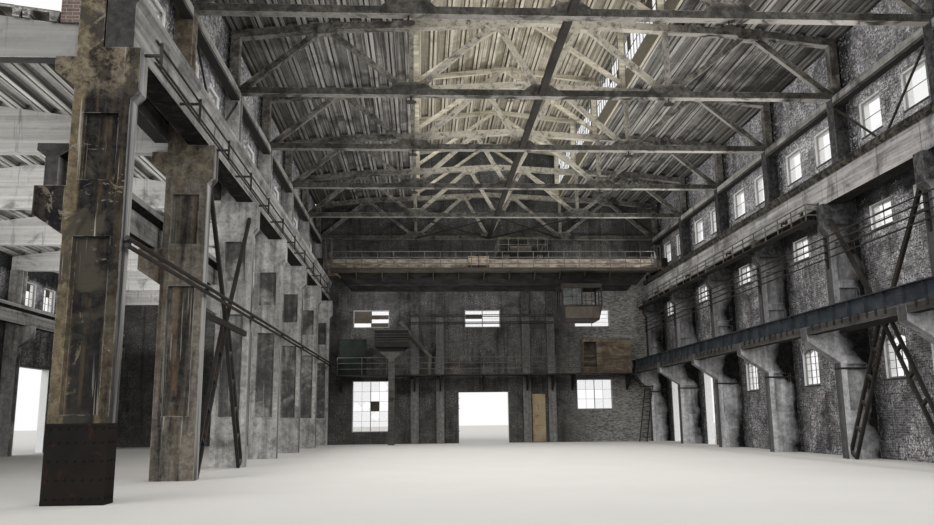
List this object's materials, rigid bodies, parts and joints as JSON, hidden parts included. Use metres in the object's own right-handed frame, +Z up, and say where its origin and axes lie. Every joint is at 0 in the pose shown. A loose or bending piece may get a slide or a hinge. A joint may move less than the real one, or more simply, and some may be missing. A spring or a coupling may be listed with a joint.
{
  "type": "factory building",
  "caption": "Derelict casting hall: open nave of concrete portal columns and trusses with a roof monitor, a side aisle, brick walls and a travelling bridge crane.",
  "frame": {"origin": "middle of the bounding box at floor level", "axes": "+X across the hall from the side aisle to the nave, +Y along the hall from its open near end to its end wall, +Z up"},
  "size_m": [35.8, 36.907, 19.4166],
  "materials": {
    "dark_concrete": "soot stained cast concrete",
    "grey_concrete": "weathered cast concrete",
    "pale_concrete": "pale cast concrete, water stained",
    "slab_concrete": "ribbed precast concrete",
    "brick": "sooty brickwork, red showing in spots",
    "dark_brick": "soot black brickwork",
    "dark_steel": "old dark paint with rust",
    "runway_steel": "old blue grey paint",
    "rusty_jacket": "dark rusted plate",
    "window_steel": "dirty grey paint",
    "glass": "dusty window glass",
    "booth_sheet": "rusted brown sheet",
    "lookout_concrete": "dark cast concrete",
    "crane_steel": "black grimy paint",
    "crane_fascia": "pale dirty paint",
    "wheel_steel": "worn dark steel"
  },
  "bodies": {
    "hall": {"left_columns": "dark_concrete", "right_columns": "grey_concrete", "column_jacket": "rusty_jacket", "aisle_columns": "dark_concrete", "end_columns": "dark_concrete", "left_crane_girders": "dark_concrete", "right_crane_girders": "grey_concrete", "aisle_crane_girders": "dark_concrete", "crane_rails": "dark_steel", "lower_runway": "runway_steel", "roof_trusses": "grey_concrete", "truss_struts": "dark_steel", "roof_slabs": "slab_concrete", "monitor_frames": "pale_concrete", "monitor_sills": "pale_concrete", "monitor_roof_slabs": "slab_concrete", "eaves_beams": "grey_concrete", "nave_wall_piers": "brick", "nave_wall_panels": "brick", "aisle_wall_piers": "brick", "aisle_wall_panels": "brick", "end_wall_piers": "dark_brick", "end_wall_panels": "dark_brick", "aisle_roof_beams": "grey_concrete", "aisle_roof_slabs": "slab_concrete", "window_frames": "window_steel", "window_glass": "glass", "gallery_deck": "dark_steel", "gallery_railing": "dark_steel", "gallery_ladder": "dark_steel", "control_booth": "booth_sheet", "lookout_platform": "lookout_concrete", "chute_pipe": "dark_steel", "column_bracing": "dark_steel", "service_pipes": "dark_steel", "lamps": "dark_steel"},
    "bridge": {"bridge_girders": "crane_steel", "end_carriages": "crane_steel", "crane_wheels": "wheel_steel", "crane_walkway": "crane_fascia", "crane_railing": "crane_steel", "crane_cab": "crane_steel"},
    "trolley": {"trolley_frame": "crane_steel", "trolley_wheels": "wheel_steel", "hoist_drum": "crane_steel"}
  },
  "joints": [
    {"name": "bridge_travel", "type": "slide", "parent": "hall", "child": "bridge", "axis": [0, 1, 0], "range_m": [-31.5, 0.1]},
    {"name": "trolley_travel", "type": "slide", "parent": "bridge", "child": "trolley", "axis": [1, 0, 0], "range_m": [-9.5, 6]}
  ]
}
